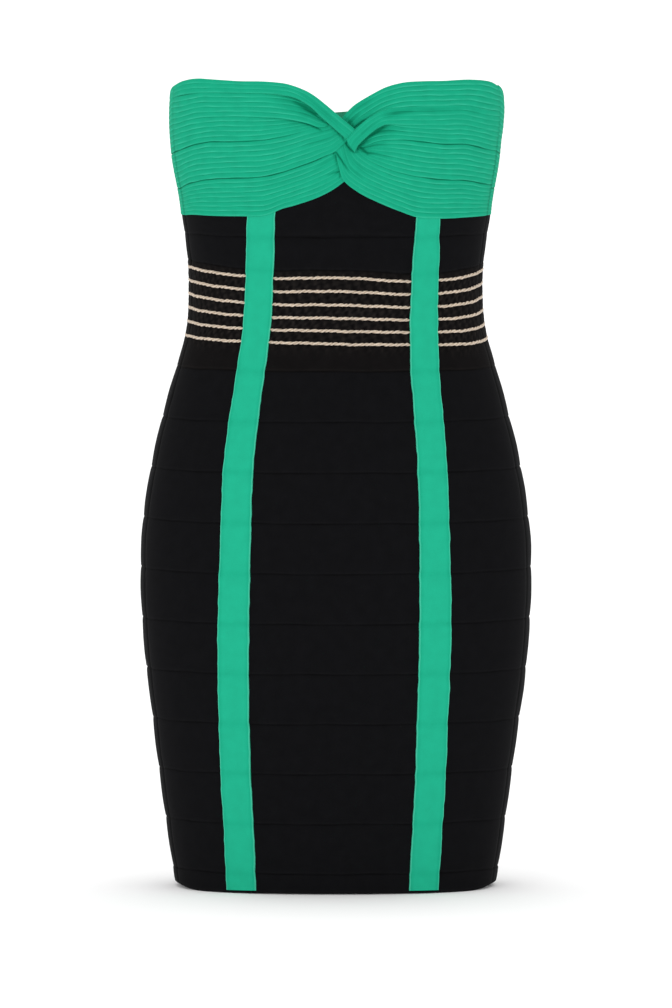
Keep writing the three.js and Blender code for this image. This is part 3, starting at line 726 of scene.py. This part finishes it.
def tuck_sheet(name, lines, tucks, seed, materials, nodes, sewn, free=(), under=(), strength=1.0,
               fullness=0, thickness=CLOTH, rolled=0):
    """A sheet of tucks between traced lines, from the lowest, with a number of tucks in each gap.

    sewn are its ends in a side seam, first, last or both. free are its long edges, low or high, that
    no seam holds, and under are those that run on under the next sheet. fullness swells it where it is
    lifted, and rolled turns its long edges in.
    """
    turns, heights, outs, painted_shadings, lifts = [], [], [], [], []
    total = sum(tucks)
    rows = tuck_rows(tucks)
    # An edge that runs on under the next sheet is painted fully dark there: painted shade beneath the overlap
    if "low" in under:
        rows.insert(0, (0, -TONGUE, -UNDER_DEPTH, -1))
    if "high" in under:
        rows.append((len(tucks) - 1, tucks[-1] + TONGUE, -UNDER_DEPTH, -1))
    for gap, position, out, painted_shading in rows:
        low, high = lines[gap], lines[gap + 1]
        count = tucks[gap]
        whole = sum(tucks[:gap]) + position
        number = seed + math.floor(whole)
        along = low[0] * 2.4
        width = np.linalg.norm(place(high[0], high[1], 0) - place(low[0], low[1], 0), axis=-1) / count
        size = np.clip(width / USUAL_TUCK, 0.25, 1.1)
        inner = 0 < position < count
        shift = 0.09 * waver(along, 3.3 * number, 57) * inner
        share = (position + shift) / count
        turn = low[0] + (high[0] - low[0]) * share
        height = low[1] + (high[1] - low[1]) * share
        lift = low[2] + (high[2] - low[2]) * share
        x = form_point(turn, height)[..., 0]
        calm = 1 - 0.4 * np.exp(-((turn - TWIST_TURN) / TWIST_CALM) ** 2)
        uneven = np.clip(0.7 + 0.42 * waver(along, number, 47), 0.15, 1.3) * calm * size * strength
        if not 0 <= position <= count:
            uneven = 1 + 0 * x
        if (position == 0 and gap == 0 and "low" in free) or (whole == total and "high" in free):
            out, painted_shading = FREE_EDGE
            uneven = 1 + 0 * x
        from_low, from_high = np.maximum(position, 0) * width, np.maximum(count - position, 0) * width
        seam = low[3] * np.exp(-(from_low / SEAM_REACH) ** 2) + high[3] * np.exp(-(from_high / SEAM_REACH) ** 2)
        fold = fold_depth(FOLDS.get(name, ()), whole, x)
        pocket = pocket_depth(POCKETS.get(name, ()), x, height)
        near_edge = max(min(whole, total - whole), 0) * USUAL_TUCK
        roll = rolled * max(1 - near_edge / 1.4, 0) ** 2 * np.clip(lift, 0, 1)
        swell = fullness * np.maximum(lift, 0) * (1 - (2 * whole / total - 1) ** 2)
        # How far a sheet lies under a strap, which sets the painted shade under the strap
        hidden = np.clip(-lift / 2.8, 0, 1) ** 1.3
        turns.append(turn)
        heights.append(height)
        lifts.append(lift)
        # Folds, pockets and seams sink the cloth and are painted darker, painted shade in creases and seams and
        # painted shadow under the straps, on top of each tuck's painted shade and highlight
        outs.append(lift + out * uneven + swell - roll - 0.5 * seam - fold - 0.8 * pocket)
        painted_shadings.append(painted_shading * uneven - 0.95 * seam - 1.1 * fold - 1.2 * pocket - 0.6 * hidden)
    turn, height, out = np.array(turns), np.array(heights), np.array(outs)
    painted_shading, lift = np.array(painted_shadings), np.array(lifts)
    plain = place(turn, height, lift)
    near = np.zeros_like(turn)
    if sewn in ("first", "both"):
        near = np.maximum(near, np.exp(-(np.linalg.norm(plain - plain[:, :1], axis=-1) / 0.9) ** 2))
    if sewn in ("last", "both"):
        near = np.maximum(near, np.exp(-(np.linalg.norm(plain - plain[:, -1:], axis=-1) / 0.9) ** 2))
    near = near * np.interp(height, (605, 640, 660, 700), (1, 0.85, 0.35, 0.15))
    # The cloth sinks into a side seam and is painted darker there: painted shade in the seam
    out = out - 0.35 * near
    painted_shading = np.clip(painted_shading - 0.7 * near, -1.3, 1)
    outside = place(turn, height, out)
    kept = np.r_[0:len(turn) - 1:INSIDE_SKIP, len(turn) - 1]
    inside = place(turn[kept], height[kept], lift[kept] - thickness)
    piece = cloth_piece(name, outside, inside, painted_shading, cloth_texture(plain), materials, nodes)
    return piece


def cup_sheet(name, side, table, names, tucks, seed, materials, nodes, **shape):
    lines = [table[line] for line in names]
    step = shared_steps(side, lines)
    traces = [traced(side, line, step) for line in lines]
    return tuck_sheet(name, traces, tucks, seed, materials, nodes, "first" if side < 0 else "last", **shape)


def back_bust(materials):
    turns = even_turns(SIDE_SEAM_TURN, 360 - SIDE_SEAM_TURN, 430 * PANEL_STEP / 2.6)
    from_side = np.minimum(turns - turns[0], turns[-1] - turns)
    edge_lift = np.interp(from_side, (0, 20, 45), (0.8, 0.9, 1.6))
    plain_lines = ((edge_lift, 0), (0, 1), (0, 1), (0, 0))
    lines = [(turns, bust_line(number, turns), lift + 0 * turns, seam + 0 * turns)
             for number, (lift, seam) in enumerate(plain_lines)]
    return tuck_sheet("tucked_back", lines, (8, 7, 12), 50, materials, ["bust_back"], "both",
                      free=("low", "high"), strength=0.85)


# The stripes and trims

# Across a stripe: distance from its middle, how far out, and painted shading, a painted highlight on each folded
# edge and painted shade just inside it
STRIPE_PROFILE = (
    (-13.1, 0.2, 0.2), (-13, 1.1, 0.9), (-12.7, 1.6, 1), (-12.3, 1.7, 0.9), (-11.8, 1.45, -0.4),
    (-11.1, 1.35, -0.3), (-9, 1.4, 0), (-5, 1.5, 0), (0, 1.55, 0), (5, 1.5, 0), (9, 1.4, 0),
    (11.1, 1.35, -0.3), (11.8, 1.45, -0.4), (12.3, 1.7, 0.9), (12.7, 1.6, 1), (13, 1.1, 0.9), (13.1, 0.2, 0.2),
)
STRIPE_END = 1.9
STRIPE_TOP = 597
STRIPE_ROW = 2.2


def stripe(name, node, path, width, seed, material):
    """A green stripe on the front, from the hem to under a cup's lower edge."""
    levels = np.linspace(STRIPE_END, STRIPE_TOP, int(STRIPE_TOP / STRIPE_ROW))[:, None]
    across, out, painted_shading = (np.array(column)[None, :] for column in zip(*STRIPE_PROFILE))
    seams = [HEM_TURNING + band * BAND_PITCH for band in range(SKIRT_BANDS + 1)] + [WAIST_TOP, MIDRIFF_SEAM]
    drawn = sum(np.exp(-((levels - seam) / 3.2) ** 2) for seam in seams)
    edge = np.sign(across) * (np.abs(across) / 13) ** 2
    wave = 0.28 * waver(levels, seed, 47) + 0.22 * waver(levels, seed + 5, 19) - 0.25 * drawn * np.sign(across)
    x = path(levels) + across * width(levels) / STRIPE_WIDTH + edge * wave
    turn = turn_at(x, levels)
    height = levels + waist_shift(turn, levels) - hem_dip(turn, levels)
    sunk = 1 - 0.55 * np.clip((levels - 583) / 5, 0, 1)
    ripple = 0.12 * waver(levels + 2 * across, seed, 23)
    lifted = out * sunk + 0.8 * soft_shape(turn, height) - 0.3 * drawn + ripple
    outside = place(turn, height, lifted)
    kept = np.r_[0:len(levels) - 1:INSIDE_SKIP, len(levels) - 1]
    inside = place(turn[kept], height[kept], 0.1 + 0 * turn[kept])
    # Painted shading, with painted shade where the seams draw the stripe in
    shown = painted_shading + 0 * levels - 0.25 * drawn
    piece = cloth_piece(name, outside, inside, shown, cloth_texture(outside), [material], [node])
    place(turn, height, 1.4)
    return piece


STRAND_RADIUS = 0.97
STRAND_OFFSET = 0.45
STRAND_PITCH = 10.5
STRAND_SIDES = 8
STRAND_STEP = 0.62
TRIM_OUT = 0.95
TRIM_OVERLAP = 0.6
TRIM_END_SINK = 1.6
TRIM_END_REACH = 1.8


def trim(name, node, level, start, end, seed, material):
    """A gold trim: two strands twisted round each other, couched onto the waist."""
    turns = np.linspace(start, end, 400)
    path = place(turns, level + waist_shift(turns, level), TRIM_OUT)
    length = np.concatenate([[0], np.cumsum(np.linalg.norm(np.diff(path, axis=0), axis=1))])
    at = np.arange(0, length[-1] + STRAND_STEP / 2, STRAND_STEP)
    turn = np.interp(at, length, turns)
    height = level + waist_shift(turn, level) + 0.3 * waver(at, seed, 31) + 0.16 * waver(at, seed + 2, 8)
    from_side = np.minimum(np.abs(turn - 90), np.abs(turn - 270))
    from_end = np.minimum(at, at[-1] - at)
    sunk = 1.6 * np.exp(-(from_side / 20) ** 2) + TRIM_END_SINK * np.exp(-(from_end / TRIM_END_REACH) ** 2)
    centre = place(turn, height, TRIM_OUT - sunk + 0.1 * waver(at, seed + 4, 13))
    out = place(turn, height, 1) - place(turn, height, 0)
    along = np.gradient(centre, axis=0)
    along /= np.linalg.norm(along, axis=1, keepdims=True)
    up = np.cross(out, along)
    points, faces, painted_shading, texture = [], [], [], []
    round_the_strand = np.arange(STRAND_SIDES) * 2 * math.pi / STRAND_SIDES
    for strand in (0, 1):
        twist = at / STRAND_PITCH * 2 * math.pi + strand * math.pi + 0.9 * waver(at, seed + 6, 27)
        lead = STRAND_OFFSET * (np.cos(twist)[:, None] * out + np.sin(twist)[:, None] * up)
        radius = STRAND_RADIUS * (1 + 0.13 * waver(at, seed + 8 + strand, 9))
        ring = centre[:, None] + lead[:, None] + radius[:, None, None] * (
            np.cos(round_the_strand)[None, :, None] * out[:, None]
            + np.sin(round_the_strand)[None, :, None] * up[:, None])
        first = strand * len(at) * STRAND_SIDES
        points.append(ring.reshape(-1, 3))
        from_middle = np.linalg.norm(ring - centre[:, None], axis=-1)
        # Painted shading: a painted highlight on each strand's outer side and painted shade on its inner side,
        # where the strands press together
        painted_shading.append(np.clip((from_middle - 0.8) / 0.5, -1, 1).ravel())
        strip = np.stack(np.broadcast_arrays(at[:, None] / 10, round_the_strand[None, :] / 20), axis=-1)
        texture.append(strip.reshape(-1, 2))
        for r in range(len(at) - 1):
            for s in range(STRAND_SIDES):
                a = first + r * STRAND_SIDES + s
                b = first + r * STRAND_SIDES + (s + 1) % STRAND_SIDES
                faces.append((a, a + STRAND_SIDES, b + STRAND_SIDES, b))
        faces.append(tuple(first + s for s in range(STRAND_SIDES)))
        last = first + (len(at) - 1) * STRAND_SIDES
        faces.append(tuple(last + s for s in reversed(range(STRAND_SIDES))))
    return mesh_piece(name, np.concatenate(points), faces, np.concatenate(painted_shading),
                      np.concatenate(texture), [material], [node])


# Materials


def node(tree, kind, links=(), **settings):
    """A new shader node with its settings, and links into its sockets as (socket, source)."""
    made = tree.nodes.new(kind)
    for key, value in settings.items():
        if key.startswith("in_"):
            made.inputs[int(key[3:])].default_value = value
        else:
            setattr(made, key, value)
    for socket, source in links:
        tree.links.new(source, made.inputs[socket])
    return made


def colour_ramp(tree, source, stops):
    ramp = node(tree, "ShaderNodeValToRGB", [("Fac", source)])
    elements = ramp.color_ramp.elements
    while len(elements) < len(stops):
        elements.new(0.5)
    for element, (position, colour) in zip(elements, stops):
        element.position = position
        element.color = (*colour, 1)
    return ramp.outputs["Color"]


def cloth_material(name, colours, roughness, sheen, specular, rib, mottle, metal=0.0):
    """Knit with courses and wales, in a colour with painted shade in its grooves and a painted highlight on its
    ribs.

    rib is the distance between courses in centimetres, and mottle how uneven the dye looks.
    """
    made = bpy.data.materials.new(name)
    made.use_nodes = True
    tree = made.node_tree
    shader = tree.nodes["Principled BSDF"]
    cloth_map = node(tree, "ShaderNodeUVMap", uv_map="cloth").outputs["UV"]
    painted_shading = node(tree, "ShaderNodeAttribute", attribute_name="painted_shading").outputs["Fac"]
    level = node(tree, "ShaderNodeMath", [(0, painted_shading)], operation="MULTIPLY_ADD", in_1=0.5, in_2=0.5)
    level.use_clamp = True
    # The painted shading picks between painted shade, the cloth's own colour and a painted highlight
    tint = colour_ramp(tree, level.outputs[0], [
        (0, colours["dark"]), (0.5, colours["base"]), (1, colours["light"])])
    patches = node(tree, "ShaderNodeTexNoise", [("Vector", cloth_map)])
    patches.inputs["Scale"].default_value = 0.9
    patches.inputs["Detail"].default_value = 6
    fibres = node(tree, "ShaderNodeTexNoise", [("Vector", cloth_map)])
    fibres.inputs["Scale"].default_value = 14
    fibres.inputs["Detail"].default_value = 3
    low, high = 1 - mottle, 1 + mottle
    varying_strength = colour_ramp(tree, patches.outputs["Fac"], [(0.3, (low,) * 3), (0.7, (high,) * 3)])
    flecks = colour_ramp(tree, fibres.outputs["Fac"], [(0.3, (low,) * 3), (0.7, (high,) * 3)])
    for variation in (varying_strength, flecks):
        mix = node(tree, "ShaderNodeMix", data_type="RGBA", blend_type="MULTIPLY", clamp_result=False)
        mix.inputs[0].default_value = 1
        tree.links.new(tint, mix.inputs[6])
        tree.links.new(variation, mix.inputs[7])
        tint = mix.outputs[2]
    tree.links.new(tint, shader.inputs["Base Color"])
    wave_scale = 0.314 / rib
    courses = node(tree, "ShaderNodeTexWave", [("Vector", cloth_map)], bands_direction="Y")
    wales = node(tree, "ShaderNodeTexWave", [("Vector", cloth_map)], bands_direction="X")
    for wave, scale in ((courses, wave_scale), (wales, wave_scale * 0.8)):
        wave.inputs["Scale"].default_value = scale
        wave.inputs["Distortion"].default_value = 1.2
        wave.inputs["Detail"].default_value = 2
        wave.inputs["Detail Scale"].default_value = 2
    stitches = node(tree, "ShaderNodeMath", [(0, courses.outputs["Fac"]), (1, wales.outputs["Fac"])],
                    operation="MULTIPLY")
    grain = node(tree, "ShaderNodeMath", [(0, fibres.outputs["Fac"]), (2, stitches.outputs[0])],
                 operation="MULTIPLY_ADD", in_1=0.7)
    bump = node(tree, "ShaderNodeBump", [("Height", grain.outputs[0])])
    bump.inputs["Strength"].default_value = 0.5
    bump.inputs["Distance"].default_value = 0.00012
    tree.links.new(bump.outputs["Normal"], shader.inputs["Normal"])
    gloss = node(tree, "ShaderNodeMapRange", [("Value", patches.outputs["Fac"])])
    gloss.inputs["To Min"].default_value = roughness - 0.06
    gloss.inputs["To Max"].default_value = roughness + 0.06
    tree.links.new(gloss.outputs["Result"], shader.inputs["Roughness"])
    shader.inputs["Metallic"].default_value = metal
    shader.inputs["Specular IOR Level"].default_value = specular
    shader.inputs["Sheen Weight"].default_value = sheen
    shader.inputs["Sheen Roughness"].default_value = 0.4
    return made


def floor_material():
    made = bpy.data.materials.new("studio_floor")
    made.use_nodes = True
    tree = made.node_tree
    shader = tree.nodes["Principled BSDF"]
    place_on_floor = node(tree, "ShaderNodeTexCoord").outputs["Object"]
    noise = node(tree, "ShaderNodeTexNoise", [("Vector", place_on_floor)])
    noise.inputs["Scale"].default_value = 2
    shade = colour_ramp(tree, noise.outputs["Fac"], [(0.2, (0.93,) * 3), (0.8, (0.95,) * 3)])
    tree.links.new(shade, shader.inputs["Base Color"])
    shader.inputs["Roughness"].default_value = 0.95
    shader.inputs["Specular IOR Level"].default_value = 0
    return made


# The dress

green = [
    cloth_material("tucked_green_knit", GREEN, 0.78, 0.01, 0.03, 0.09, 0.05),
    cloth_material("green_knit_inside", GREEN_INSIDE, 0.85, 0.01, 0.03, 0.09, 0.08),
]
stripe_green = cloth_material("flat_green_knit", STRIPE_GREEN, 0.78, 0.01, 0.03, 0.08, 0.04)
black = cloth_material("black_banded_knit", BLACK, 0.85, 0.02, 0.03, 0.1, 0.12)
warm_black = cloth_material("black_waist_knit", WARM_BLACK, 0.85, 0.02, 0.03, 0.1, 0.16)
gold = cloth_material("twisted_gold_thread", GOLD, 0.5, 0.0, 0.3, 0.03, 0.16, metal=0.2)


def band_nodes(side):
    return [f"{side}_band_{number}" for number in range(1, SKIRT_BANDS + 1)]


front_turns = even_turns(-SIDE_SEAM_TURN, SIDE_SEAM_TURN, 370)
back_turns = even_turns(SIDE_SEAM_TURN, 360 - SIDE_SEAM_TURN, 560)
peak_turns = np.unique(np.concatenate([front_turns, TWIST_TURN + np.array([-1.6, -0.8, 0, 0.8, 1.6])]))
for side, turns, top_turns, seed in (("front", front_turns, peak_turns, 3), ("back", back_turns, back_turns, 11)):
    panel(f"{side}_skirt_bands", skirt_rows(), turns, seed, band_nodes(side), black)
    panel(f"{side}_waist_bands", waist_rows(), turns, seed, [f"{side}_waist"], warm_black)
    panel(f"{side}_midriff_bands", midriff_rows(), top_turns, seed, [f"{side}_midriff"], black)

OVER_SEAM = {"under": ("high",)}
FREE_BELOW = {"free": ("low",), **OVER_SEAM}
STRAP = {"free": ("low", "high"), "strength": 0.6, "fullness": 0.3, "thickness": 2.4, "rolled": 1.1}
# Each cup's sheets: name, lines, tucks in each gap, seed, nodes and shape
CUP_SHEETS = {
    -1: (
        ("low", ("bottom", "low_seam"), (8,), 1, ["cup_left"], {**FREE_BELOW, "strength": 0.78}),
        ("middle", ("rising_seam", "high_seam", "under_fold"), (7, 5), 9, ["cup_left"],
         {**OVER_SEAM, "strength": 0.75}),
        ("high", ("fold", "under_strap"), (5,), 22, ["cup_left"], {**OVER_SEAM, "strength": 0.75}),
        ("strap", ("strap_edge", "neckline"), (3,), 28, ["cup_left", "twist_left"], STRAP),
    ),
    1: (
        ("low", ("bottom", "low_seam"), (8,), 31, ["cup_right"], {**FREE_BELOW, "strength": 0.85}),
        ("middle", ("rising_seam", "high_seam", "under_strap"), (7, 4), 39, ["cup_right"],
         {**OVER_SEAM, "strength": 0.85}),
        ("high", ("under_top", "neckline"), (5,), 63, ["cup_right"],
         {"free": ("high",), "under": ("low",), "strength": 0.85}),
        ("strap", ("strap_edge", "strap_top"), (4,), 70, ["cup_right", "twist_right"], STRAP),
    ),
}
for side, cup, table in ((-1, "left_cup", LEFT_LINES), (1, "right_cup", RIGHT_LINES)):
    for sheet, names, tucks, seed, nodes, shape in CUP_SHEETS[side]:
        cup_sheet(f"{cup}_{sheet}", side, table, names, tucks, seed, green, nodes, **shape)
back_bust(green)

stripe("left_stripe", "stripe_left", stripe_left, stripe_left_width, 2, stripe_green)
stripe("right_stripe", "stripe_right", stripe_right, stripe_right_width, 6, stripe_green)

for number in range(1, TRIM_COUNT + 1):
    level = FIRST_TRIM + (number - 1) * TRIM_PITCH
    left_half = float(stripe_left_width(level)) / 2 - TRIM_OVERLAP
    right_half = float(stripe_right_width(level)) / 2 - TRIM_OVERLAP
    left_in, left_out = (float(turn_at(stripe_left(level) + d, level)) for d in (left_half, -left_half))
    right_in, right_out = (float(turn_at(stripe_right(level) - d, level)) for d in (right_half, -right_half))
    trim(f"gold_front_{number}", f"trim_front_{number}", level, left_in, right_in, number, gold)
    trim(f"gold_back_{number}", f"trim_back_{number}", level, right_out, 360 + left_out, 20 + number, gold)

# The studio

LOWEST_DIP = 4.6
FLOOR_CORNERS = ((-40, -20), (40, -20), (40, 70), (-40, 70))
floor_mesh = bpy.data.meshes.new("studio_floor")
ground = -(HOLD_HEIGHT + LOWEST_DIP) / 1000
floor_mesh.from_pydata([(x, y, ground) for x, y in FLOOR_CORNERS], [], [(0, 1, 2, 3)])
floor_mesh.materials.append(floor_material())
floor = bpy.data.objects.new("studio_floor", floor_mesh)
bpy.context.scene.collection.objects.link(floor)

world = bpy.data.worlds.new("studio")
world.use_nodes = True
world.node_tree.nodes["Background"].inputs["Color"].default_value = (1, 1, 1, 1)
world.node_tree.nodes["Background"].inputs["Strength"].default_value = 0.9
bpy.context.scene.world = world


def sun(name, strength, spread, tilt, swing):
    """A soft light from far away: tilt down from overhead, and swing from the front, in degrees."""
    lamp = bpy.data.lights.new(name, "SUN")
    lamp.energy = strength
    lamp.angle = math.radians(spread)
    made = bpy.data.objects.new(name, lamp)
    made.rotation_euler = (math.radians(tilt), 0, math.radians(swing))
    bpy.context.scene.collection.objects.link(made)


sun("key_light", 0.5, 35, 74, -28)
sun("fill_light", 0.22, 60, 75, 42)
sun("back_light", 1.1, 60, -18, 0)

# The camera stands where the photograph's did: 14 m away and a little above, looking 4.5 degrees down.
DISTANCE = 14.0
PITCH = math.radians(4.5)
MM_PER_PIXEL = 0.8755
FRAME_PIXELS = 1008
SENSOR = 24.0
AIM_HEIGHT = 330.5
CAMERA_ASIDE = 0.00044
camera_data = bpy.data.cameras.new("camera")
camera_data.sensor_fit = "VERTICAL"
camera_data.sensor_height = SENSOR
camera_data.lens = DISTANCE * 1000 / MM_PER_PIXEL / FRAME_PIXELS * SENSOR
camera_data.clip_end = 200
camera = bpy.data.objects.new("camera", camera_data)
aim_z = (AIM_HEIGHT - HOLD_HEIGHT) / 1000
camera.location = (CAMERA_ASIDE, -DISTANCE * math.cos(PITCH), aim_z + DISTANCE * math.sin(PITCH))
camera.rotation_euler = (math.radians(90) - PITCH, 0, 0)
bpy.context.scene.collection.objects.link(camera)
bpy.context.scene.camera = camera
bpy.context.scene.view_settings.view_transform = "Standard"
